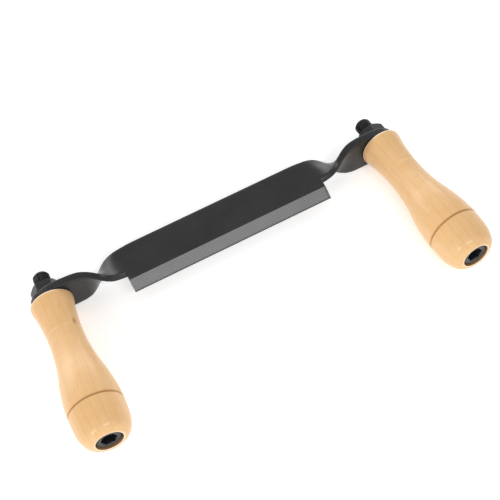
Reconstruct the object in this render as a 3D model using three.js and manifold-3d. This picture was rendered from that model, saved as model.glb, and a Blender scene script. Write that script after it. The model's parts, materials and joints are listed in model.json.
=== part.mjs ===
// Drawknife: one forged blade between two turned wooden handles. Each handle is clamped to an upright tab
// of the blade by a socket-head bolt that runs through the handle and a hexagon nut behind the tab.
//
// Millimetres. The tool is built in its own level axes: +X along the cutting edge, +Y from the edge to the
// spine, +Z up, with the origin midway between the handles' top faces. At the end the whole tool is tipped
// and lifted into the attitude in which it lies on a bench, on its two bulbs and its two tabs.

import * as THREE from "three";
import { mergeVertices } from "three/addons/utils/BufferGeometryUtils.js";
import Module from "manifold-3d";

const wasm = await Module();
wasm.setup();

// Whole tool.
const GAP = 0.3; // clearance between pieces that touch
const HANDLE_SPACING = 256.7; // between the handle axes, at the handles' top faces
const SPLAY = THREE.MathUtils.degToRad(3.1); // each handle leans outwards
const REST_TILT = THREE.MathUtils.degToRad(2.9); // the bulbs are thicker than the tabs are high

// Blade.
const PLATE = 5.6; // thickness of the forged strip
const CHAMFER = 0.5; // along the strip's long edges
const EDGE_LENGTH = 151.6;
const BODY_HALF = 14.3; // half the width of the strip in the body
const BEVEL_REACH = 7.5; // how far the cutting edge stands in front of the strip
const EDGE_LAND = 0.25; // the edge is closed by a narrow flat
const BODY_SHIFT = 0.9; // the body sits this much nearer the right-hand handle
const NECK_BACK = 12.7; // half width of the neck, towards the spine
const NECK_FRONT = 7.9; // half width of the neck, towards the edge
const TAB_HALF = 14.6; // half the height of the tab where it is widest
const TAB_ROUND_FROM = 118; // from here outwards the tab is half an ellipse
const TAB_END = 141;
const BEND_X = 100; // where the strip turns to stand square to the splayed handle
const SHOULDER_FROM = 58; // the strip is straight from here to the middle of the tool
const STATION_STEP = 2.4; // distance between two sections of the swept strip
const END_STEPS = 10; // sections in the elliptical end of a tab
const END_TURN = THREE.MathUtils.degToRad(86); // the ellipse is closed by a small flat

// Where the strip changes its shape, as distances from the middle of the tool.
const SHIFT_ENDS = [60, 84];
const BODY_NARROWS = [61, 84];
const FRONT_WIDENS = [79, 113];
const BACK_WIDENS = [94, 118];
const TWISTS = [71, 108];
const LEANS = [98, 106];

// Handle.
const HANDLE_LENGTH = 114.4;
const RIM_RADIUS = 15.1;
const RIM_ROUNDING = 1.3;
const GROOVE_AT = 89.2; // from the top face
const GROOVE_TUBE = 0.9;
const GROOVE_SURFACE = 19.1; // the radius it is cut into
const FAINT_RING_AT = 26.5;
const FAINT_RING_TUBE = 2.4;
const FAINT_RING_DEPTH = 0.25;
const FAINT_RING_SURFACE = 12.4;
const BORE_RADIUS = 6.5;
const COUNTERBORE_RADIUS = 9.4;

// M12 hardware.
const BOLT_RADIUS = 6;
const BOLT_LENGTH = 126; // under the head
const BOLT_HEAD_RADIUS = 9;
const BOLT_HEAD_HEIGHT = 12;
const BOLT_CHAMFER = 1.2;
const SOCKET_FLATS = 10;
const SOCKET_DEPTH = 6.5;
const HEAD_RECESS = 1.2; // the head lies this far inside the handle's end
const NUT_FLATS = 19;
const NUT_HEIGHT = 8;
const RIGHT_NUT_TURN = THREE.MathUtils.degToRad(30); // tightened to a corner up; the left one has a flat up
const NUT_FACE = 0.97; // the round face of the nut, as a part of its width across flats
const WASHER_RADIUS = 9;
const WASHER_THICKNESS = 2;

const HANDLE_SEGMENTS = 36;
const HARDWARE_SEGMENTS = 24;

// Distances along a handle's axis, measured from its top face towards the bulb.
const HEAD_TOP_AT = HANDLE_LENGTH - HEAD_RECESS;
const HEAD_UNDER_AT = HEAD_TOP_AT - BOLT_HEAD_HEIGHT;
const WASHER_AT = HEAD_UNDER_AT - GAP;
const COUNTERBORE_FLOOR_AT = WASHER_AT - WASHER_THICKNESS - GAP;
const TAB_MIDDLE_AT = -(GAP + PLATE / 2);
const NUT_AT = -(GAP + PLATE + GAP);

const steel = new THREE.MeshStandardMaterial({ color: 0x3a3a3b, roughness: 0.45, metalness: 0.6 });
const wood = new THREE.MeshStandardMaterial({ color: 0xe0b684, roughness: 0.5, metalness: 0 });
const fastenerSteel = new THREE.MeshStandardMaterial({ color: 0x2c2d2e, roughness: 0.5, metalness: 0.7 });

// A geometry as a solid that manifold-3d can join and cut.
function solidOf(geometry) {
  const bare = geometry.clone();
  bare.deleteAttribute("normal");
  bare.deleteAttribute("uv");
  const merged = mergeVertices(bare, 1e-4);
  return new wasm.Manifold(
    new wasm.Mesh({
      numProp: 3,
      vertProperties: merged.attributes.position.array,
      triVerts: new Uint32Array(merged.index.array),
    }),
  );
}

// A solid back as a geometry with flat shading.
function geometryOf(solid) {
  const { numProp, vertProperties, triVerts } = solid.getMesh();
  const positions = new Float32Array((vertProperties.length / numProp) * 3);
  for (let i = 0; i < positions.length / 3; i++) {
    positions.set(vertProperties.subarray(i * numProp, i * numProp + 3), i * 3);
  }
  const geometry = new THREE.BufferGeometry();
  geometry.setAttribute("position", new THREE.BufferAttribute(positions, 3));
  geometry.setIndex(new THREE.BufferAttribute(triVerts, 1));
  const flat = geometry.toNonIndexed();
  flat.computeVertexNormals();
  return flat;
}

// Turns a closed outline of [radius, distance from the handle's top face] pairs about the handle's axis.
function revolve(outline, segments) {
  const points = outline.map(([radius, along]) => new THREE.Vector2(radius, -along));
  return new THREE.LatheGeometry(points, segments);
}

// A round hole tool between two distances along the axis.
function hole(radius, from, to, segments = HARDWARE_SEGMENTS) {
  return revolve([[0, to], [radius, to], [radius, from], [0, from]], segments);
}

// A hexagonal bar between two distances along the axis.
function hexagon(acrossFlats, from, to) {
  const corner = acrossFlats / 2 / Math.cos(Math.PI / 6);
  const bar = new THREE.CylinderGeometry(corner, corner, to - from, 6);
  return bar.rotateY(Math.PI / 6).translate(0, -(from + to) / 2, 0);
}

// The place of a handle's own axes, with local -Y running down the handle.
function sideMatrix(side) {
  const turn = new THREE.Matrix4().makeRotationZ(side * SPLAY);
  return turn.setPosition((side * HANDLE_SPACING) / 2, 0, 0);
}

const smooth = (x, from, to) => THREE.MathUtils.smoothstep(x, from, to);
const mix = THREE.MathUtils.lerp;

const tabCentre = new THREE.Vector3(0, -TAB_MIDDLE_AT, 0).applyMatrix4(sideMatrix(1));
const STRIP_Y = tabCentre.y - (tabCentre.x - BEND_X) * Math.tan(SPLAY); // the body's centre line
const BEVEL_TOP_Y = STRIP_Y - BODY_HALF;
const EDGE_Y = BEVEL_TOP_Y - BEVEL_REACH;

// The strip's section at a distance from the middle of the tool. It narrows from the body into the neck,
// turns by a right angle so that its front edge ends on top, and widens again into the tab.
function stripSection(side, distance) {
  const rounding = Math.max(0, distance - TAB_ROUND_FROM) / (TAB_END - TAB_ROUND_FROM);
  const tab = TAB_HALF * Math.sqrt(1 - rounding ** 2);
  const body = mix(BODY_HALF, NECK_BACK, smooth(distance, ...BODY_NARROWS));
  const back = mix(body, tab, smooth(distance, ...BACK_WIDENS));
  const front = mix(NECK_FRONT, tab, smooth(distance, ...FRONT_WIDENS));
  const twist = (Math.PI / 2) * THREE.MathUtils.smootherstep(distance, ...TWISTS);
  const lean = SPLAY * smooth(distance, ...LEANS);
  const bodyShift = BODY_SHIFT * (1 - smooth(distance, ...SHIFT_ENDS));

  const level = new THREE.Vector3(-side * Math.sin(lean), Math.cos(lean), 0);
  const up = new THREE.Vector3(0, 0, 1);
  const toSpine = level.clone().multiplyScalar(Math.cos(twist)).addScaledVector(up, -Math.sin(twist));
  const toTop = up.clone().multiplyScalar(Math.cos(twist)).addScaledVector(level, Math.sin(twist));
  const y = STRIP_Y + Math.max(0, distance - BEND_X) * Math.tan(SPLAY);
  const centre = new THREE.Vector3(side * distance + bodyShift, y, 0);

  const half = PLATE / 2;
  const corners = [];
  for (const [width, sign] of [[back, 1], [-front, -1]]) {
    const outer = [width, sign * (half - CHAMFER)];
    const inner = [width - sign * CHAMFER, sign * half];
    const innerBelow = [width - sign * CHAMFER, -sign * half];
    const outerBelow = [width, -sign * (half - CHAMFER)];
    corners.push(innerBelow, outerBelow, outer, inner);
  }
  return corners.map(([w, t]) => centre.clone().addScaledVector(toSpine, w).addScaledVector(toTop, t));
}

// A closed solid through a row of sections that all have the same number of corners.
function loft(sections) {
  const count = sections[0].length;
  const positions = sections.flat().flatMap((p) => [p.x, p.y, p.z]);
  const index = [];
  for (let i = 0; i + 1 < sections.length; i++) {
    for (let j = 0; j < count; j++) {
      const a = i * count + j;
      const b = i * count + ((j + 1) % count);
      index.push(a, b, a + count, b, b + count, a + count);
    }
  }
  const last = (sections.length - 1) * count;
  for (let j = 1; j + 1 < count; j++) {
    index.push(0, j + 1, j, last, last + j, last + j + 1);
  }
  const geometry = new THREE.BufferGeometry();
  geometry.setAttribute("position", new THREE.Float32BufferAttribute(positions, 3));
  geometry.setIndex(index);
  return geometry;
}

// The part of the blade in front of the strip: flat below, ground to an edge from above.
function bevelGeometry() {
  const half = PLATE / 2;
  const inside = STRIP_Y - NECK_FRONT + 2 * CHAMFER;
  const outline = new THREE.Shape([
    new THREE.Vector2(inside, -half),
    new THREE.Vector2(inside, half),
    new THREE.Vector2(BEVEL_TOP_Y, half),
    new THREE.Vector2(EDGE_Y, EDGE_LAND - half),
    new THREE.Vector2(EDGE_Y, -half),
  ]);
  const prism = new THREE.ExtrudeGeometry(outline, { depth: EDGE_LENGTH, bevelEnabled: false });
  const turn = new THREE.Matrix4().makeBasis(
    new THREE.Vector3(0, 1, 0),
    new THREE.Vector3(0, 0, 1),
    new THREE.Vector3(1, 0, 0),
  );
  return prism.applyMatrix4(turn).translate(BODY_SHIFT - EDGE_LENGTH / 2, 0, 0);
}

function bladeGeometry() {
  const distances = [];
  const steps = Math.ceil((TAB_ROUND_FROM - SHOULDER_FROM) / STATION_STEP);
  for (let i = 0; i <= steps; i++) {
    distances.push(mix(SHOULDER_FROM, TAB_ROUND_FROM, i / steps));
  }
  for (let i = 1; i <= END_STEPS; i++) {
    const angle = (i / END_STEPS) * END_TURN;
    distances.push(mix(TAB_ROUND_FROM, TAB_END, Math.sin(angle)));
  }
  const left = distances.map((distance) => stripSection(-1, distance)).reverse();
  const right = distances.map((distance) => stripSection(1, distance));
  let blade = solidOf(loft([...left, ...right])).add(solidOf(bevelGeometry()));
  for (const side of [-1, 1]) {
    const boltHole = hole(BORE_RADIUS, -GAP - PLATE - 1, 1).applyMatrix4(sideMatrix(side));
    blade = blade.subtract(solidOf(boltHole));
  }
  return geometryOf(blade);
}

// The outside of a handle, from the rounded rim over the waist and the bulb to the end face.
function handleOutline() {
  const rim = [];
  for (let i = 0; i <= 3; i++) {
    const angle = (i / 3) * (Math.PI / 2);
    const inset = RIM_ROUNDING * (1 - Math.sin(angle));
    rim.push([RIM_RADIUS - inset, RIM_ROUNDING * (1 - Math.cos(angle))]);
  }
  const curve = new THREE.SplineCurve([
    new THREE.Vector2(RIM_RADIUS, RIM_ROUNDING),
    new THREE.Vector2(14.8, 4.5),
    new THREE.Vector2(13.5, 11.5),
    new THREE.Vector2(12.5, 22.5),
    new THREE.Vector2(12.3, 36),
    new THREE.Vector2(13.8, 51.5),
    new THREE.Vector2(17.2, 68),
    new THREE.Vector2(19.0, 82),
    new THREE.Vector2(19.1, 93),
    new THREE.Vector2(18.4, 103),
    new THREE.Vector2(16.4, 109.3),
    new THREE.Vector2(14.2, 112.4),
    new THREE.Vector2(11.3, HANDLE_LENGTH),
  ]);
  const side = curve.getPoints(24).map((point) => [point.x, point.y]);
  return [...rim, ...side.slice(1)];
}

function handleGeometry() {
  const outline = [
    [BORE_RADIUS, 0],
    ...handleOutline(),
    [COUNTERBORE_RADIUS, HANDLE_LENGTH],
    [COUNTERBORE_RADIUS, COUNTERBORE_FLOOR_AT],
    [BORE_RADIUS, COUNTERBORE_FLOOR_AT],
    [BORE_RADIUS, 0],
  ];
  const groove = new THREE.TorusGeometry(GROOVE_SURFACE, GROOVE_TUBE, 6, HANDLE_SEGMENTS);
  const ringRadius = FAINT_RING_SURFACE + FAINT_RING_TUBE - FAINT_RING_DEPTH;
  const faintRing = new THREE.TorusGeometry(ringRadius, FAINT_RING_TUBE, 12, HANDLE_SEGMENTS);
  groove.rotateX(Math.PI / 2).translate(0, -GROOVE_AT, 0);
  faintRing.rotateX(Math.PI / 2).translate(0, -FAINT_RING_AT, 0);
  const turned = solidOf(revolve(outline.reverse(), HANDLE_SEGMENTS));
  return geometryOf(turned.subtract(solidOf(groove)).subtract(solidOf(faintRing)));
}

function boltGeometry() {
  const end = HEAD_UNDER_AT - BOLT_LENGTH;
  const body = revolve(
    [
      [0, HEAD_TOP_AT],
      [BOLT_HEAD_RADIUS - BOLT_CHAMFER, HEAD_TOP_AT],
      [BOLT_HEAD_RADIUS, HEAD_TOP_AT - BOLT_CHAMFER],
      [BOLT_HEAD_RADIUS, HEAD_UNDER_AT],
      [BOLT_RADIUS, HEAD_UNDER_AT],
      [BOLT_RADIUS, end + BOLT_CHAMFER],
      [BOLT_RADIUS - BOLT_CHAMFER, end],
      [0, end],
    ],
    HARDWARE_SEGMENTS,
  );
  const socket = hexagon(SOCKET_FLATS, HEAD_TOP_AT - SOCKET_DEPTH, HEAD_TOP_AT + 1);
  return geometryOf(solidOf(body).subtract(solidOf(socket)));
}

// A hexagon whose corners are cut at 30 degrees on both faces, with a clear hole for the bolt.
function nutGeometry(turn) {
  const near = NUT_AT;
  const far = NUT_AT - NUT_HEIGHT;
  const corner = NUT_FLATS / 2 / Math.cos(Math.PI / 6);
  const faceRadius = (NUT_FLATS / 2) * NUT_FACE;
  const drop = (corner - faceRadius) * Math.tan(Math.PI / 6);
  const envelope = revolve(
    [
      [0, near],
      [faceRadius, near],
      [corner, near - drop],
      [corner, far + drop],
      [faceRadius, far],
      [0, far],
    ],
    HARDWARE_SEGMENTS * 2,
  );
  const bar = solidOf(hexagon(NUT_FLATS, far - 1, near + 1).rotateY(turn));
  const clear = solidOf(hole(BOLT_RADIUS + GAP, far - 1, near + 1));
  return geometryOf(bar.intersect(solidOf(envelope)).subtract(clear));
}

function washerGeometry() {
  const inner = BOLT_RADIUS + GAP;
  const far = WASHER_AT - WASHER_THICKNESS;
  return revolve(
    [
      [inner, far],
      [inner, WASHER_AT],
      [WASHER_RADIUS, WASHER_AT],
      [WASHER_RADIUS, far],
      [inner, far],
    ],
    HARDWARE_SEGMENTS,
  );
}

function namedMesh(name, geometry, material) {
  const mesh = new THREE.Mesh(geometry, material);
  mesh.name = name;
  return mesh;
}

const tool = new THREE.Group();
tool.add(namedMesh("blade", bladeGeometry(), steel));
for (const [name, side, nutTurn] of [["left", -1, 0], ["right", 1, RIGHT_NUT_TURN]]) {
  const assembly = new THREE.Group();
  assembly.add(namedMesh(`${name}_handle`, handleGeometry(), wood.clone()));
  assembly.add(namedMesh(`${name}_bolt`, boltGeometry(), fastenerSteel.clone()));
  assembly.add(namedMesh(`${name}_nut`, nutGeometry(nutTurn), fastenerSteel.clone()));
  assembly.add(namedMesh(`${name}_head_washer`, washerGeometry(), fastenerSteel.clone()));
  assembly.applyMatrix4(sideMatrix(side));
  tool.add(assembly);
}

// The rest attitude: tipped about the edge direction, the lowest point at Z = 0, centred in X and Y.
const drawknife = new THREE.Group();
tool.rotation.x = -REST_TILT;
drawknife.add(tool);
const extent = new THREE.Box3().setFromObject(drawknife, true);
const middle = extent.getCenter(new THREE.Vector3());
tool.position.set(-middle.x, -middle.y, -extent.min.z);

export default drawknife;
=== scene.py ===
"""A drawknife: a forged blade between two turned wooden handles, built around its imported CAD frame.

Every piece is modelled in the level tool frame (X along the cutting edge, Y towards the spine, Z up, the
origin midway between the handles' top faces) and placed by one matrix that comes from the record's mounts.
"""

import json
import math

import bmesh
import bpy
from mathutils import Matrix, Vector


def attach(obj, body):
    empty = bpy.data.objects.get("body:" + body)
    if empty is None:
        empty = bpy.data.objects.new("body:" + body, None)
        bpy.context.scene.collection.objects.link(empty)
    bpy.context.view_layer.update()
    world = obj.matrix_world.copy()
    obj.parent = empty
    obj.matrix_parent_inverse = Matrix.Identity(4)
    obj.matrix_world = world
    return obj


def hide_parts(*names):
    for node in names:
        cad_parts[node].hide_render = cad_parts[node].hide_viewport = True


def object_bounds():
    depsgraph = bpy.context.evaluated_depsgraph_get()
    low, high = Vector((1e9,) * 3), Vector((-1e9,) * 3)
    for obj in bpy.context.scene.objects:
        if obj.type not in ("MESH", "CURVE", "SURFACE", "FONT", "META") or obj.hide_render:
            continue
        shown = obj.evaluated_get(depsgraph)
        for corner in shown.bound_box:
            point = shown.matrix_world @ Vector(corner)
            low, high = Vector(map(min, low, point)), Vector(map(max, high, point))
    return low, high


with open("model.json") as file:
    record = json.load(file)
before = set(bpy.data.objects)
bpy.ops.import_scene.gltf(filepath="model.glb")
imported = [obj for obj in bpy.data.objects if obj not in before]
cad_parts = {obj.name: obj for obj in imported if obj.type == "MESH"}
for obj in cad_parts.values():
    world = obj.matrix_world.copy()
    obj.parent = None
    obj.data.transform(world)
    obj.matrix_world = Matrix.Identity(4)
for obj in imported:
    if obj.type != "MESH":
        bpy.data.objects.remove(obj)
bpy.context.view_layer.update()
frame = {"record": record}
mounts = {mount["name"]: mount for mount in frame["record"]["mounts"]}

MM = 0.001
WELD = 0.002 * MM  # vertices closer than this are made one
OWN_AXES = "own_axes"  # each vertex's place in its piece's own axes, for the materials

# Blade, as in the CAD model.
SPLAY = math.radians(3.1)
PLATE = 5.6 * MM
EDGE_LENGTH = 151.6 * MM
BODY_HALF = 14.3 * MM
BEVEL_REACH = 7.5 * MM
EDGE_LAND = 0.2 * MM
BODY_SHIFT = 0.9 * MM
NECK_BACK = 12.7 * MM
NECK_FRONT = 7.9 * MM
TAB_HALF = 14.6 * MM
TAB_ROUND_FROM = 118 * MM
TAB_END = 141 * MM
END_TURN = math.radians(89)  # the tab's round end stops just short of a point
BEND_X = 100 * MM
SECTION_ROUNDING = 0.9 * MM
TOP_MOUNT_Y = 3 * MM

# Stretches of the strip on which something changes, as distances from the middle.
SHIFT_ENDS = (60 * MM, 84 * MM)
BODY_NARROWS = (61 * MM, 84 * MM)
TWISTS = (71 * MM, 108 * MM)
FRONT_WIDENS = (79 * MM, 113 * MM)
BACK_WIDENS = (94 * MM, 118 * MM)
LEANS = (98 * MM, 106 * MM)

# Handle: radius against distance from the top face.
HANDLE_LENGTH = 114.4 * MM
RIM_RADIUS = 15.1 * MM
RIM_ROUNDING = 1.3 * MM
PROFILE = [(15.1, 1.3), (14.8, 4.5), (13.5, 11.5), (12.5, 22.5), (12.3, 36), (13.8, 51.5), (17.2, 68),
           (19.0, 82), (19.1, 93), (18.4, 103), (16.4, 109.3), (14.2, 112.4), (11.3, 114.4)]
GROOVE_AT = 89.2 * MM
GROOVE_HALF_WIDTH = 0.95 * MM
GROOVE_DEPTH = 0.7 * MM
FAINT_RING_AT = 26.5 * MM
FAINT_RING_HALF_WIDTH = 1.7 * MM
FAINT_RING_DEPTH = 0.2 * MM
FINE_NEAR_RINGS = 2.2 * MM  # the outline has finer steps this close to a ring
BORE_RADIUS = 6.5 * MM
COUNTERBORE_RADIUS = 9.4 * MM

# M12 hardware.
THREAD_RADIUS = 6 * MM
THREAD_PITCH = 1.75 * MM
BOLT_LENGTH = 126 * MM
HEAD_RADIUS = 9 * MM
HEAD_HEIGHT = 12 * MM
HEAD_RECESS = 1.2 * MM
SOCKET_FLATS = 10 * MM
SOCKET_DEPTH = 6.5 * MM
NUT_FLATS = 19 * MM
NUT_HEIGHT = 8 * MM
WASHER_THICKNESS = 2 * MM
GAP = 0.3 * MM

HEAD_TOP_AT = HANDLE_LENGTH - HEAD_RECESS
HEAD_UNDER_AT = HEAD_TOP_AT - HEAD_HEIGHT
BOLT_END_AT = HEAD_UNDER_AT - BOLT_LENGTH
WASHER_AT = HEAD_UNDER_AT - GAP - WASHER_THICKNESS
COUNTERBORE_FLOOR_AT = WASHER_AT - GAP
NUT_NEAR_AT = -(2 * GAP + PLATE)
NUT_FAR_AT = NUT_NEAR_AT - NUT_HEIGHT

LEFT, RIGHT = -1, 1
SIDES = {"left": LEFT, "right": RIGHT}
NUT_TURN = {"left": 0, "right": math.radians(30)}  # from a flat up


# ---------------------------------------------------------------- places

def tool_matrix():
    """The level tool frame's place in the row frame, from the mount on the blade's top face."""
    top = mounts["blade_top"]
    tilt = math.atan2(top["axis"][1], top["axis"][2])
    turn = Matrix.Rotation(-tilt, 4, "X")
    on_top_face = Vector((0, TOP_MOUNT_Y, PLATE / 2))
    return Matrix.Translation(Vector(top["pos_m"]) - turn @ on_top_face) @ turn


TOOL = tool_matrix()


def handle_spacing_half():
    """Half the distance between the handle axes at the top faces, from the mount on the bolt's end."""
    end = TOOL.inverted() @ Vector(mounts["right_bolt_end"]["pos_m"])
    return end.x - math.sin(SPLAY) * BOLT_END_AT


HALF_SPACING = handle_spacing_half()


def side_matrix(side):
    """A handle's own axes in the tool frame: local -Y runs down the handle from its top face."""
    return Matrix.Translation((side * HALF_SPACING, 0, 0)) @ Matrix.Rotation(side * SPLAY, 4, "Z")


def smooth(value, low, high):
    t = min(max((value - low) / (high - low), 0), 1)
    return t * t * (3 - 2 * t)


def smoother(value, low, high):
    t = min(max((value - low) / (high - low), 0), 1)
    return t ** 3 * (t * (6 * t - 15) + 10)


def mix(a, b, t):
    return a + (b - a) * t


# ---------------------------------------------------------------- mesh helpers

def finish_piece(name, bm, matrix, node, materials, sharp_degrees=35):
    """Makes the piece, hides the CAD node it stands for, and lets it ride on the one body."""
    bmesh.ops.remove_doubles(bm, verts=bm.verts, dist=WELD)
    bmesh.ops.recalc_face_normals(bm, faces=bm.faces)
    for face in bm.faces:
        face.smooth = True
    for edge in bm.edges:
        if len(edge.link_faces) == 2 and edge.calc_face_angle(0) > math.radians(sharp_degrees):
            edge.smooth = False
    own = bm.verts.layers.float_vector.new(OWN_AXES)
    for vert in bm.verts:
        vert[own] = vert.co
    bmesh.ops.transform(bm, matrix=matrix, verts=bm.verts)
    mesh = bpy.data.meshes.new(name)
    bm.to_mesh(mesh)
    bm.free()
    for material in materials:
        mesh.materials.append(material)
    piece = bpy.data.objects.new(name, mesh)
    bpy.context.scene.collection.objects.link(piece)
    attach(piece, "root")
    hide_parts(node)
    return piece


def skin(bm, rows):
    """Quads between neighbouring closed rows of vertices that all have the same length."""
    for near, far in zip(rows, rows[1:]):
        count = len(near)
        for j in range(count):
            corners = [near[j], near[(j + 1) % count], far[(j + 1) % count], far[j]]
            distinct = list(dict.fromkeys(corners))
            if len(distinct) > 2:
                bm.faces.new(distinct)


def ring(bm, segments, radius, along):
    """One turn of vertices. Radius and distance from the top face are numbers or functions of the angle."""
    row = []
    for i in range(segments):
        angle = 2 * math.pi * i / segments
        r = radius(angle) if callable(radius) else radius
        y = -along(angle) if callable(along) else -along
        row.append(bm.verts.new((r * math.cos(angle), y, r * math.sin(angle))))
    return row


def hexagon_radius(flats, angle):
    """From the centre to the side of a hexagon, in the direction of the angle."""
    return flats / 2 / math.cos(angle % (math.pi / 3) - math.pi / 6)


def revolve(bm, outline, segments):
    """Turns a closed outline of (radius, distance from the top face) about the handle's axis."""
    rows = []
    for i in range(segments):
        angle = 2 * math.pi * i / segments
        across, up = math.cos(angle), math.sin(angle)
        rows.append([bm.verts.new((r * across, -along, r * up)) for r, along in outline])
    skin(bm, rows + rows[:1])


# ---------------------------------------------------------------- blade

def tab_centre():
    return side_matrix(RIGHT) @ Vector((0, GAP + PLATE / 2, 0))


CENTRE = tab_centre()
STRIP_Y = CENTRE.y - (CENTRE.x - BEND_X) * math.tan(SPLAY)


def strip_place(side, distance):
    """The strip's centre, the directions to its spine edge and top face, and its two half widths."""
    rounding = max(0, distance - TAB_ROUND_FROM) / (TAB_END - TAB_ROUND_FROM)
    tab = TAB_HALF * math.sqrt(max(0, 1 - rounding ** 2))
    body = mix(BODY_HALF, NECK_BACK, smooth(distance, *BODY_NARROWS))
    back = mix(body, tab, smooth(distance, *BACK_WIDENS))
    front = mix(NECK_FRONT, tab, smooth(distance, *FRONT_WIDENS))
    twist = math.pi / 2 * smoother(distance, *TWISTS)
    lean = SPLAY * smooth(distance, *LEANS)
    level = Vector((-side * math.sin(lean), math.cos(lean), 0))
    up = Vector((0, 0, 1))
    to_spine = level * math.cos(twist) - up * math.sin(twist)
    to_top = up * math.cos(twist) + level * math.sin(twist)
    y = STRIP_Y + max(0, distance - BEND_X) * math.tan(SPLAY)
    return Vector((side * distance + body_shift(distance), y, 0)), to_spine, to_top, back, front


CORNER_STEPS = 5
FLAT_STEPS = 10
LEDGE_STEPS = 4  # from the flat to the bevel, and back under it
BEVEL_STEPS = 6


def rounded_run(width, sign, rounding):
    """The rounded end of the section at one edge, from its lower corner to its upper corner."""
    half = PLATE / 2
    run = []
    for corner in (-1, 1):
        for i in range(CORNER_STEPS + 1):
            angle = math.pi / 2 * i / CORNER_STEPS
            a, b = (math.sin(angle), math.cos(angle)) if corner < 0 else (math.cos(angle), math.sin(angle))
            run.append((width - sign * rounding * (1 - a), corner * (half - rounding + rounding * b)))
    return run


def resample(points, count):
    """The polyline through the points, with count points evenly along it."""
    lengths = [0]
    for a, b in zip(points, points[1:]):
        lengths.append(lengths[-1] + math.dist(a, b))
    out = []
    k = 0
    for i in range(count):
        target = lengths[-1] * i / (count - 1)
        while k + 2 < len(lengths) and lengths[k + 1] < target:
            k += 1
        span = lengths[k + 1] - lengths[k]
        t = (target - lengths[k]) / span if span else 0
        out.append((mix(points[k][0], points[k + 1][0], t), mix(points[k][1], points[k + 1][1], t)))
    return out


def section_outline(back, front, with_bevel):
    """The section as (towards the spine, towards the top) pairs: spine edge, top, front edge, underside."""
    half = PLATE / 2
    rounding = min(SECTION_ROUNDING, back * 0.45, front * 0.45)
    spine = rounded_run(back, 1, rounding)
    neck = rounded_run(-front, -1, rounding)[::-1]
    root = -front + rounding
    if with_bevel:
        line = BODY_HALF
        edge = -line - BEVEL_REACH
        nose = [(mix(root, -line, i / LEDGE_STEPS), half) for i in range(LEDGE_STEPS + 1)]
        for i in range(1, BEVEL_STEPS + 1):
            t = i / BEVEL_STEPS
            nose.append((mix(-line, edge, t), mix(half, EDGE_LAND - half, t)))
        nose += [(edge, -half)]
        nose += [(mix(edge, root, i / LEDGE_STEPS), -half) for i in range(1, LEDGE_STEPS + 1)]
    else:
        nose = resample(neck, 2 * LEDGE_STEPS + BEVEL_STEPS + 2)
        nose[0], nose[-1] = (root, half), (root, -half)
    top = [(mix(back - rounding, root, i / FLAT_STEPS), half) for i in range(1, FLAT_STEPS)]
    under = [(mix(root, back - rounding, i / FLAT_STEPS), -half) for i in range(1, FLAT_STEPS)]
    return spine + top + nose + under, len(spine) + len(top)


def body_shift(distance):
    return BODY_SHIFT * (1 - smooth(distance, *SHIFT_ENDS))


def bevel_end(side):
    """The distance whose section stands where the ground edge stops."""
    distance = EDGE_LENGTH / 2
    rounds_to_settle = 6
    for _ in range(rounds_to_settle):
        distance = EDGE_LENGTH / 2 + side * (BODY_SHIFT - body_shift(distance))
    return distance


def blade_stations(side):
    """Distances from the middle, with whether the bevel is part of the section there."""
    end = bevel_end(side)
    straight_to = 56 * MM
    steps = 8
    stations = [(mix(0, straight_to, i / steps), True) for i in range(steps + 1)]
    steps = 26
    stations += [(mix(straight_to, end, i / steps), True) for i in range(1, steps + 1)]
    stations += [(end, False)]
    steps = 70
    stations += [(mix(end, TAB_ROUND_FROM, i / steps), False) for i in range(1, steps + 1)]
    steps = 30
    for i in range(1, steps + 1):
        angle = END_TURN * i / steps
        stations.append((mix(TAB_ROUND_FROM, TAB_END, math.sin(angle)), False))
    return stations


def section_row(bm, side, distance, with_bevel):
    centre, to_spine, to_top, back, front = strip_place(side, distance)
    outline, nose_start = section_outline(back, front, with_bevel)
    row = []
    for w, t in outline:
        point = centre + to_spine * w + to_top * t
        if with_bevel and w < -NECK_FRONT:
            level = Vector((centre.x, STRIP_Y + w, t))
            point = point.lerp(level, smooth(-w, NECK_FRONT, BODY_HALF))
        row.append(bm.verts.new(point))
    return row, nose_start


def build_blade():
    bm = bmesh.new()
    rows = []
    flags = []
    walk = [(LEFT, station) for station in reversed(blade_stations(LEFT))]
    walk += [(RIGHT, station) for station in blade_stations(RIGHT)[1:]]
    for side, (distance, bevel) in walk:
        row, nose_start = section_row(bm, side, distance, bevel)
        rows.append(row)
        flags.append(bevel)
    count = len(rows[0])
    bevel_start = nose_start + LEDGE_STEPS
    for i, (near, far) in enumerate(zip(rows, rows[1:])):
        for j in range(count):
            face = bm.faces.new([near[j], near[(j + 1) % count], far[(j + 1) % count], far[j]])
            ground = flags[i] and flags[i + 1] and bevel_start <= j < bevel_start + BEVEL_STEPS
            face.material_index = 1 if ground else 0
    bm.faces.new(rows[0])
    bm.faces.new(list(reversed(rows[-1])))
    bmesh.ops.remove_doubles(bm, verts=bm.verts, dist=WELD)
    bmesh.ops.dissolve_degenerate(bm, dist=WELD, edges=bm.edges)
    bmesh.ops.recalc_face_normals(bm, faces=bm.faces)
    for side in SIDES.values():
        bm = drilled(bm, side_matrix(side))
    return bm


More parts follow.
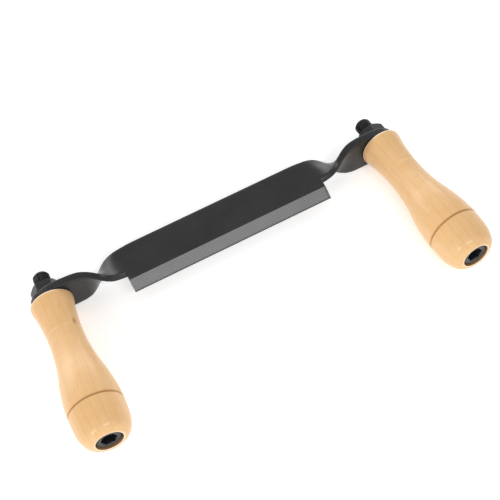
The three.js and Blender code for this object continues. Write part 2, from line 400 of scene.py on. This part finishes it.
def drilled(bm, place):
    """The mesh with a bolt hole through the tab at this handle."""
    cutter = bmesh.new()
    reach = 2 * MM
    far = -PLATE - 2 * reach
    outline = [(0, reach), (BORE_RADIUS, reach), (BORE_RADIUS, far), (0, far)]
    revolve(cutter, outline, segments=64)
    bmesh.ops.remove_doubles(cutter, verts=cutter.verts, dist=WELD)
    bmesh.ops.recalc_face_normals(cutter, faces=cutter.faces)
    bmesh.ops.transform(cutter, matrix=place, verts=cutter.verts)
    holders = []
    for name, mesh_source in (("tab_blank", bm), ("tab_drill", cutter)):
        mesh = bpy.data.meshes.new(name)
        mesh_source.to_mesh(mesh)
        mesh_source.free()
        for _ in range(2):
            mesh.materials.append(None)
        holder = bpy.data.objects.new(name, mesh)
        bpy.context.scene.collection.objects.link(holder)
        holders.append(holder)
    blank, drill = holders
    modifier = blank.modifiers.new("drill", "BOOLEAN")
    modifier.object = drill
    modifier.operation = "DIFFERENCE"
    modifier.solver = "EXACT"
    done = blank.evaluated_get(bpy.context.evaluated_depsgraph_get())
    result = bmesh.new()
    result.from_mesh(done.to_mesh())
    for holder in holders:
        mesh = holder.data
        bpy.data.objects.remove(holder)
        bpy.data.meshes.remove(mesh)
    return result


# ---------------------------------------------------------------- handle

def catmull(points, steps):
    """A smooth curve through the points, as three.js's SplineCurve draws it."""
    out = []
    last = len(points) - 1
    for i in range(last):
        p = [Vector(points[min(max(k, 0), last)]) for k in (i - 1, i, i + 1, i + 2)]
        if i == 0:
            p[0] = p[1]
        if i == last - 1:
            p[3] = p[2]
        for s in range(steps):
            t = s / steps
            v0, v1 = (p[2] - p[0]) / 2, (p[3] - p[1]) / 2
            a = 2 * p[1] - 2 * p[2] + v0 + v1
            b = -3 * p[1] + 3 * p[2] - 2 * v0 - v1
            out.append(a * t ** 3 + b * t ** 2 + v0 * t + p[1])
    out.append(Vector(points[-1]))
    return out


def groove_depth(along):
    """How far the turned rings lie below the handle's surface."""
    cut = abs(along - GROOVE_AT) / GROOVE_HALF_WIDTH
    faint = abs(along - FAINT_RING_AT) / FAINT_RING_HALF_WIDTH
    deep = GROOVE_DEPTH * math.sqrt(max(0, 1 - cut ** 2))
    shallow = FAINT_RING_DEPTH * max(0, 1 - faint ** 2)
    return deep + shallow


def handle_outline():
    outline = [(BORE_RADIUS, 0)]
    steps = 8
    for i in range(steps + 1):
        angle = i / steps * math.pi / 2
        inset = RIM_ROUNDING * (1 - math.sin(angle))
        outline.append((RIM_RADIUS - inset, RIM_ROUNDING * (1 - math.cos(angle))))
    curve = catmull([(r * MM, s * MM) for r, s in PROFILE], 24)
    fine = []
    for a, b in zip(curve, curve[1:]):
        near_ring = min(abs(a.y - GROOVE_AT), abs(a.y - FAINT_RING_AT)) < FINE_NEAR_RINGS
        parts = 6 if near_ring else 1
        fine += [a.lerp(b, i / parts) for i in range(parts)]
    for point in fine[1:]:
        outline.append((point.x - groove_depth(point.y), point.y))
    lip = 0.5 * MM
    steps = 4
    for i in range(steps + 1):
        angle = i / steps * math.pi / 2
        radius = COUNTERBORE_RADIUS + lip * (1 - math.sin(angle))
        outline.append((radius, HANDLE_LENGTH - lip * (1 - math.cos(angle))))
    outline += [(COUNTERBORE_RADIUS, COUNTERBORE_FLOOR_AT), (BORE_RADIUS, COUNTERBORE_FLOOR_AT)]
    return outline


def build_handle():
    bm = bmesh.new()
    outline = handle_outline()
    revolve(bm, outline + outline[:1], segments=112)
    return bm


# ---------------------------------------------------------------- hardware

BOLT_SEGMENTS = 72
SOCKET_CONE_DEPTH = 1.6 * MM
SOCKET_CONE_RADIUS = SOCKET_FLATS / 2 * 0.92
SOCKET_CONE_TIP = 0.3 * MM
SOCKET_MOUTH = 0.35 * MM  # how far the countersink reaches past the hexagon's corners
HEAD_ROUNDING = 1.3 * MM
HEAD_CHAMFER = 0.4 * MM
THREAD_FROM = NUT_NEAR_AT + 2 * MM
THREAD_RUNOUT = 2 * MM
THREAD_DEPTH = 0.95 * MM
THREAD_FLAT = 0.12  # share of the half wave that is flat at the crest, and again at the root
POINT_INSET = 1.5 * MM
POINT_SLOPE = 0.9


def thread_radius(angle, along):
    """The helical thread, running out towards the plain shank and chamfered at the bolt's end."""
    phase = (along / THREAD_PITCH - angle / (2 * math.pi)) % 1
    wave = abs(2 * phase - 1)
    profile = min(max((wave - THREAD_FLAT) / (1 - 2 * THREAD_FLAT), 0), 1)
    runout = smooth(THREAD_FROM - along, 0, THREAD_RUNOUT)
    point = THREAD_RADIUS - POINT_INSET + (along - BOLT_END_AT) * POINT_SLOPE
    return min(THREAD_RADIUS - THREAD_DEPTH * runout * (1 - profile), point)


def build_bolt():
    """A socket-head bolt with a real helical thread on its free end."""
    bm = bmesh.new()
    floor_at = HEAD_TOP_AT - SOCKET_DEPTH
    mouth = SOCKET_FLATS / 2 / math.cos(math.pi / 6) + SOCKET_MOUTH

    def socket(angle):
        return hexagon_radius(SOCKET_FLATS, angle)

    def countersink(angle):
        return HEAD_TOP_AT - (mouth - socket(angle)) * 0.5 - 0.05 * MM

    stops = [(SOCKET_CONE_TIP, floor_at - SOCKET_CONE_DEPTH), (SOCKET_CONE_RADIUS, floor_at),
             (socket, floor_at), (socket, countersink), (mouth, HEAD_TOP_AT),
             (HEAD_RADIUS - HEAD_ROUNDING, HEAD_TOP_AT)]
    steps = 5
    for i in range(1, steps + 1):
        turn = i / steps * math.pi / 2
        radius = HEAD_RADIUS - HEAD_ROUNDING * (1 - math.sin(turn))
        stops.append((radius, HEAD_TOP_AT - HEAD_ROUNDING * (1 - math.cos(turn))))
    stops += [(HEAD_RADIUS, HEAD_UNDER_AT + HEAD_CHAMFER), (HEAD_RADIUS - HEAD_CHAMFER, HEAD_UNDER_AT)]
    shank = (HEAD_UNDER_AT, mix(HEAD_UNDER_AT, THREAD_FROM, 0.5), THREAD_FROM + 1.5 * MM)
    stops += [(THREAD_RADIUS, along) for along in shank]
    rows = [ring(bm, BOLT_SEGMENTS, radius, along) for radius, along in stops]

    rings_per_turn = 12
    along = THREAD_FROM
    while along > BOLT_END_AT:
        rows.append(ring(bm, BOLT_SEGMENTS, lambda angle: thread_radius(angle, along), along))
        along -= THREAD_PITCH / rings_per_turn
    rows.append(ring(bm, BOLT_SEGMENTS, lambda angle: thread_radius(angle, BOLT_END_AT), BOLT_END_AT))
    skin(bm, rows)
    bm.faces.new(rows[0])
    bm.faces.new(list(reversed(rows[-1])))
    return bm


NUT_SEGMENTS = 120
NUT_FACE_RADIUS = NUT_FLATS / 2 * 0.89
NUT_COUNTERSINK = 0.7 * MM


def build_nut(turn):
    """A hexagon nut: the 30 degree chamfers cut the corners in arcs, and the hole is countersunk."""
    bm = bmesh.new()
    hole = THREAD_RADIUS + GAP
    middle = (NUT_NEAR_AT + NUT_FAR_AT) / 2

    def side(angle):
        return hexagon_radius(NUT_FLATS, angle + turn)

    def halfway(angle):
        return mix(NUT_FACE_RADIUS, side(angle), 0.5)

    def drop(angle):
        return (side(angle) - NUT_FACE_RADIUS) * math.tan(math.pi / 6)

    def half(face_at, inward):
        """From the hole to the flats, on the face where inward is the sign towards the nut's middle."""
        return [(hole, face_at + inward * NUT_COUNTERSINK), (hole + NUT_COUNTERSINK, face_at),
                (NUT_FACE_RADIUS, face_at), (halfway, lambda a: face_at + inward * drop(a) * 0.42),
                (side, lambda a: face_at + inward * drop(a))]

    stops = half(NUT_NEAR_AT, -1) + [(side, middle)] + half(NUT_FAR_AT, 1)[::-1]
    rows = [ring(bm, NUT_SEGMENTS, radius, along) for radius, along in stops]
    skin(bm, rows + rows[:1])
    return bm


def build_washer():
    inner, outer, soft = THREAD_RADIUS + GAP, HEAD_RADIUS, 0.25 * MM
    near, far = WASHER_AT, WASHER_AT + WASHER_THICKNESS
    outline = [(inner, near), (outer - soft, near), (outer, near + soft),
               (outer, far - soft), (outer - soft, far), (inner, far)]
    bm = bmesh.new()
    revolve(bm, outline + outline[:1], segments=96)
    return bm


# ---------------------------------------------------------------- materials

class Nodes:
    """A short way to write a node tree."""

    def __init__(self, name):
        self.material = bpy.data.materials.new(name)
        self.material.use_nodes = True
        self.tree = self.material.node_tree
        self.shader = self.tree.nodes["Principled BSDF"]
        place = self.tree.nodes.new("ShaderNodeAttribute")
        place.attribute_name = OWN_AXES
        self.place = place.outputs["Vector"]

    def add(self, kind, inputs=None, **settings):
        node = self.tree.nodes.new(kind)
        for key, value in settings.items():
            setattr(node, key, value)
        for key, value in (inputs or {}).items():
            self.set(node.inputs[key], value)
        return node

    def set(self, socket, value):
        if isinstance(value, bpy.types.NodeSocket):
            self.tree.links.new(value, socket)
        else:
            socket.default_value = value

    def mapped(self, vector, scale=(1, 1, 1), rotation=(0, 0, 0), location=(0, 0, 0)):
        inputs = {"Vector": vector, "Scale": scale, "Rotation": rotation, "Location": location}
        return self.add("ShaderNodeMapping", inputs).outputs[0]

    def vector(self, operation, inputs):
        return self.add("ShaderNodeVectorMath", inputs, operation=operation).outputs["Vector"]

    def length(self, vector):
        return self.add("ShaderNodeVectorMath", {0: vector}, operation="LENGTH").outputs["Value"]

    def from_axis(self):
        """The distance from the handle's axis."""
        return self.length(self.mapped(self.place, (1, 0, 1)))

    def along(self, axis):
        return self.add("ShaderNodeSeparateXYZ", {"Vector": self.place}).outputs[axis]

    def between(self, value, zero_at, one_at):
        """0 at the first value and 1 at the second, and level past them."""
        inputs = {"Value": value, "From Min": zero_at, "From Max": one_at}
        return self.add("ShaderNodeMapRange", inputs).outputs[0]

    def bands(self, vector, scale, distortion, detail, detail_scale):
        inputs = {"Vector": vector, "Scale": scale, "Distortion": distortion, "Detail": detail,
                  "Detail Scale": detail_scale}
        return self.add("ShaderNodeTexWave", inputs, wave_type="BANDS", bands_direction="X").outputs["Fac"]

    def noise(self, vector, scale, detail=3, roughness=0.5):
        inputs = {"Vector": vector, "Scale": scale, "Detail": detail, "Roughness": roughness}
        return self.add("ShaderNodeTexNoise", inputs).outputs["Fac"]

    def ramp(self, factor, stops):
        node = self.add("ShaderNodeValToRGB", {"Fac": factor})
        elements = node.color_ramp.elements
        while len(elements) < len(stops):
            elements.new(0.5)
        for element, (position, colour) in zip(elements, stops):
            element.position = position
            element.color = (*colour, 1) if isinstance(colour, tuple) else (colour, colour, colour, 1)
        return node.outputs["Color"]

    def blend(self, factor, a, b):
        node = self.add("ShaderNodeMix", data_type="RGBA")
        self.set(node.inputs["Factor"], factor)
        self.set(node.inputs["A"], (*a, 1) if isinstance(a, tuple) else a)
        self.set(node.inputs["B"], (*b, 1) if isinstance(b, tuple) else b)
        return node.outputs["Result"]

    def times(self, a, b):
        return self.math("MULTIPLY", a, b)

    def math(self, operation, a, b=0.0):
        node = self.add("ShaderNodeMath", operation=operation)
        self.set(node.inputs[0], a)
        self.set(node.inputs[1], b)
        return node.outputs[0]

    def bump(self, height, strength, distance, normal=None):
        node = self.add("ShaderNodeBump", {"Height": height, "Strength": strength, "Distance": distance})
        if normal is not None:
            self.set(node.inputs["Normal"], normal)
        return node.outputs["Normal"]


def black_steel(name, tone, rough, crest=False):
    """Satin black oxide: faint mottling, a fine tooth, and a little bare metal on the worn edges."""
    n = Nodes(name)
    cloud = n.noise(n.place, 45, 4)
    speck = n.noise(n.place, 900, 3, 0.7)
    tint = n.ramp(cloud, [(0.3, tuple(c * 0.84 for c in tone)), (0.7, tuple(c * 1.18 for c in tone))])
    edge = n.add("ShaderNodeNewGeometry").outputs["Pointiness"]
    worn = n.times(n.ramp(edge, [(0.515, 0.0), (0.58, 1.0)]), n.ramp(speck, [(0.35, 0.15), (0.7, 1.0)]))
    tint = n.blend(n.times(worn, 0.45), tint, (0.13, 0.13, 0.135))
    # With crest set, the thread's crests are lightened, broken up by the mottling: a painted highlight.
    if crest:
        from_axis = n.from_axis()
        painted_highlight = n.between(from_axis, THREAD_RADIUS - 0.22 * MM, THREAD_RADIUS - 0.05 * MM)
        within = n.math("LESS_THAN", from_axis, THREAD_RADIUS + 0.1 * MM)
        painted_highlight = n.times(n.times(painted_highlight, within), n.ramp(cloud, [(0.35, 0.25), (0.7, 0.8)]))
        tint = n.blend(painted_highlight, tint, (0.085, 0.085, 0.088))
    n.set(n.shader.inputs["Base Color"], tint)
    n.shader.inputs["Specular IOR Level"].default_value = 0.32
    roughness = n.ramp(n.noise(n.place, 120, 5, 0.6), [(0.3, rough - 0.04), (0.7, rough + 0.05)])
    n.set(n.shader.inputs["Roughness"], roughness)
    n.set(n.shader.inputs["Normal"], n.bump(speck, 0.10, 0.04 * MM))
    return n.material


GRIND_TURN = math.radians(-43)  # the grinding lines cross the bevel steeply
GRIND_PITCH = 1.25 * MM
BAND_SPACING = 0.31416  # between the wave texture's bands, at a scale of 1


def ground_steel():
    """The bevel: bare steel with close slanting grinding lines, painted shade at the tip, and darker along
    the edge.
    """
    n = Nodes("ground_bevel")
    turned = n.mapped(n.place, rotation=(0, 0, GRIND_TURN))
    lines = n.bands(turned, BAND_SPACING / GRIND_PITCH, 2.2, 2.0, 3.0)
    scratches = n.noise(n.mapped(turned, (1500, 90, 90)), 1.0, 4, 0.7)
    patches = n.noise(n.place, 60, 2)
    tint = n.ramp(lines, [(0.15, (0.066, 0.066, 0.068)), (0.85, (0.196, 0.196, 0.200))])
    tint = n.blend(0.38, tint, n.ramp(scratches, [(0.3, (0.125, 0.125, 0.127)), (0.7, (0.235, 0.235, 0.24))]))
    tint = n.blend(0.25, tint, n.ramp(patches, [(0.3, (0.15, 0.15, 0.15)), (0.7, (0.20, 0.20, 0.20))]))
    dark = (0.03, 0.03, 0.032)
    end = EDGE_LENGTH / 2 + BODY_SHIFT
    # The darker patches at the bevel's end are painted shade.
    tip = n.between(n.along("X"), end - 1.9 * MM, end - 1.3 * MM)
    tip_breakup = n.ramp(n.noise(n.place, 1600, 1), [(0.40, 0.0), (0.52, 0.75)])
    tint = n.blend(n.times(tip, tip_breakup), tint, dark)
    lip = n.between(n.along("Z"), -PLATE / 2 + 0.95 * MM, -PLATE / 2 + 0.45 * MM)
    tint = n.blend(n.times(lip, 0.85), tint, dark)
    n.set(n.shader.inputs["Base Color"], tint)
    n.shader.inputs["Metallic"].default_value = 0.25
    n.set(n.shader.inputs["Roughness"], n.ramp(scratches, [(0.3, 0.42), (0.7, 0.56)]))
    n.set(n.shader.inputs["Normal"], n.bump(lines, 0.25, 0.04 * MM))
    return n.material


def wood_grain(n, moved, streaks, clouds):
    """The colour of bare wood: growth layers, soft clouds, figure, fine streaks and short dark rays."""
    warp = n.noise(n.mapped(moved, (30, 7, 30)), 1.0, 3)
    shift = n.vector("SCALE", {0: (0.006, 0.0, 0.01), 3: warp})
    warped = n.vector("ADD", {0: moved, 1: shift})
    flat = n.mapped(warped, (1.0, 0.045, 0.55), (0, math.radians(24), 0))
    layers = n.bands(flat, 58.0, 2.6, 3.0, 1.6)
    rays = n.noise(n.mapped(moved, (1500, 150, 1500)), 1.0, 2, 0.5)
    figure = n.noise(moved, 75, 3, 0.6)
    pale, middle, dark = (0.790, 0.490, 0.228), (0.805, 0.508, 0.246), (0.765, 0.462, 0.206)
    tint = n.ramp(layers, [(0.05, pale), (0.55, middle), (0.95, dark)])
    tint = n.blend(0.5, tint, n.ramp(clouds, [(0.3, (0.735, 0.432, 0.182)), (0.7, (0.835, 0.545, 0.280))]))
    tint = n.blend(n.ramp(figure, [(0.48, 0.0), (0.72, 0.30)]), tint, (0.70, 0.375, 0.135))
    tint = n.blend(n.ramp(streaks, [(0.42, 0.0), (0.80, 0.20)]), tint, (0.60, 0.335, 0.14))
    return n.blend(n.ramp(rays, [(0.62, 0.0), (0.76, 0.30)]), tint, (0.47, 0.24, 0.09))


def turned_wood(name, seed, knot=None):
    """Pale beech under clear lacquer, with a darker groove, painted highlights on the rims and painted shade
    in the bore.
    """
    n = Nodes(name)
    moved = n.mapped(n.place, location=(seed * 0.013, seed * 0.31, seed * 0.027))
    streaks = n.noise(n.mapped(moved, (520, 11, 520)), 1.0, 4, 0.65)
    clouds = n.noise(moved, 26, 3)
    tint = wood_grain(n, moved, streaks, clouds)
    if knot is not None:
        offset = n.vector("SUBTRACT", {0: n.place, 1: knot})
        away = n.length(n.mapped(offset, (1, 0.6, 1)))
        spot = n.between(away, 2.4 * MM, 0.6 * MM)
        tint = n.blend(n.times(spot, 0.75), tint, (0.40, 0.19, 0.065))
    y = n.along("Y")
    # The wood is darker inside the groove.
    groove = n.math("ABSOLUTE", n.math("ADD", y, GROOVE_AT))
    groove_darkening = n.between(groove, 1.0 * MM, 0.45 * MM)
    tint = n.blend(n.times(groove_darkening, 0.92), tint, (0.42, 0.200, 0.060))
    # Painted highlights: the wood is lightened along the rim of the top face and on the lip round the
    # counterbore.
    painted_highlight = n.between(n.math("ABSOLUTE", y), 1.7 * MM, 0.9 * MM)
    from_axis = n.from_axis()
    bore_wall = COUNTERBORE_RADIUS + 0.06 * MM
    lip = n.between(from_axis, COUNTERBORE_RADIUS + 1.3 * MM, COUNTERBORE_RADIUS + 0.5 * MM)
    at_end = n.math("GREATER_THAN", n.times(y, -1.0), HANDLE_LENGTH - 1.0 * MM)
    outside = n.math("GREATER_THAN", from_axis, bore_wall)
    lip = n.times(lip, n.times(at_end, outside))
    tint = n.blend(n.times(n.math("MAXIMUM", painted_highlight, lip), 0.6), tint, (0.98, 0.86, 0.66))
    # Inside the counterbore and the bore the wood is darkened: painted shade.
    tint = n.blend(n.times(n.math("LESS_THAN", from_axis, bore_wall), 0.85), tint, (0.20, 0.085, 0.030))
    n.set(n.shader.inputs["Base Color"], tint)
    n.set(n.shader.inputs["Roughness"], n.ramp(n.noise(moved, 180, 4), [(0.3, 0.34), (0.7, 0.44)]))
    n.shader.inputs["Coat Weight"].default_value = 0.26
    n.shader.inputs["Specular IOR Level"].default_value = 0.35
    n.shader.inputs["Coat Roughness"].default_value = 0.15
    fine = n.bump(streaks, 0.10, 0.10 * MM)
    n.set(n.shader.inputs["Normal"], n.bump(clouds, 0.15, 0.5 * MM, fine))
    return n.material


# ---------------------------------------------------------------- assembly

blade_steel = black_steel("black_oxide_blade", (0.0190, 0.0190, 0.0200), 0.30)
hardware_steel = black_steel("black_oxide_hardware", (0.012, 0.0125, 0.0135), 0.30)
thread_steel = black_steel("black_oxide_thread", (0.010, 0.0105, 0.0115), 0.28, crest=True)
bevel_steel = ground_steel()
woods = {
    "left": turned_wood("turned_wood_left", 1.0, knot=(0.0095, -0.0260, 0.0080)),
    "right": turned_wood("turned_wood_right", 4.0),
}

finish_piece("forged_blade", build_blade(), TOOL, "blade", [blade_steel, bevel_steel], 24)
for word, side in SIDES.items():
    place = TOOL @ side_matrix(side)
    nut = build_nut(NUT_TURN[word])
    wood = [woods[word]]
    finish_piece(f"{word}_turned_handle", build_handle(), place, f"{word}_handle", wood)
    finish_piece(f"{word}_socket_bolt", build_bolt(), place, f"{word}_bolt", [thread_steel])
    finish_piece(f"{word}_hexagon_nut", nut, place, f"{word}_nut", [hardware_steel])
    finish_piece(f"{word}_flat_washer", build_washer(), place, f"{word}_head_washer", [hardware_steel])


# ---------------------------------------------------------------- floor, lights and camera

def add_floor():
    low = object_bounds()[0]
    bm = bmesh.new()
    reach = 3.0
    signs = ((-1, -1), (1, -1), (1, 1), (-1, 1))
    bm.faces.new([bm.verts.new((x * reach, y * reach, low[2])) for x, y in signs])
    mesh = bpy.data.meshes.new("floor")
    bm.to_mesh(mesh)
    bm.free()
    floor = bpy.data.objects.new("floor", mesh)
    bpy.context.scene.collection.objects.link(floor)
    n = Nodes("floor_white")
    n.shader.inputs["Base Color"].default_value = (0.92, 0.92, 0.92, 1)
    n.shader.inputs["Roughness"].default_value = 0.9
    n.shader.inputs["Emission Color"].default_value = (1, 1, 1, 1)
    n.shader.inputs["Emission Strength"].default_value = 0.35
    mesh.materials.append(n.material)


def add_softbox(name, place, target, size, power):
    data = bpy.data.lights.new(name, "AREA")
    data.shape = "RECTANGLE"
    data.size, data.size_y = size
    data.energy = power
    lamp = bpy.data.objects.new(name, data)
    bpy.context.scene.collection.objects.link(lamp)
    lamp.location = place
    lamp.rotation_euler = (Vector(target) - Vector(place)).to_track_quat("-Z", "Y").to_euler()


CAMERA_PLACE = Vector((-145.23, -476.40, 684.39)) * MM  # in the tool frame
CAMERA_HEADING = math.radians(-18.893)
CAMERA_LOOKS_DOWN = math.radians(55.51)
CAMERA_ROLL = math.radians(-10.132)


def add_camera():
    data = bpy.data.cameras.new("camera")
    data.sensor_width = 36
    data.lens = 87.6
    data.clip_start = 0.01
    camera = bpy.data.objects.new("camera", data)
    bpy.context.scene.collection.objects.link(camera)
    heading = Matrix.Rotation(CAMERA_HEADING, 4, "Z")
    tilt = Matrix.Rotation(math.pi / 2 - CAMERA_LOOKS_DOWN, 4, "X")
    roll = Matrix.Rotation(CAMERA_ROLL, 4, "Z")
    camera.matrix_world = TOOL @ Matrix.Translation(CAMERA_PLACE) @ heading @ tilt @ roll
    bpy.context.scene.camera = camera


def add_world():
    world = bpy.data.worlds.new("studio")
    world.use_nodes = True
    background = world.node_tree.nodes["Background"]
    background.inputs["Color"].default_value = (1, 1, 1, 1)
    background.inputs["Strength"].default_value = 0.58
    bpy.context.scene.world = world


add_floor()
add_world()
add_softbox("backdrop", (0.0, 1.5, 0.45), (0, 0, 0.1), (2.8, 0.86), 20)
add_softbox("overhead", (0.1, -0.75, 0.95), (0, 0, 0), (0.60, 0.18), 4.2)
add_softbox("side", (-1.0, -0.7, 0.60), (0, 0, 0), (0.20, 0.60), 4.4)
add_camera()
bpy.context.scene.view_settings.view_transform = "Standard"
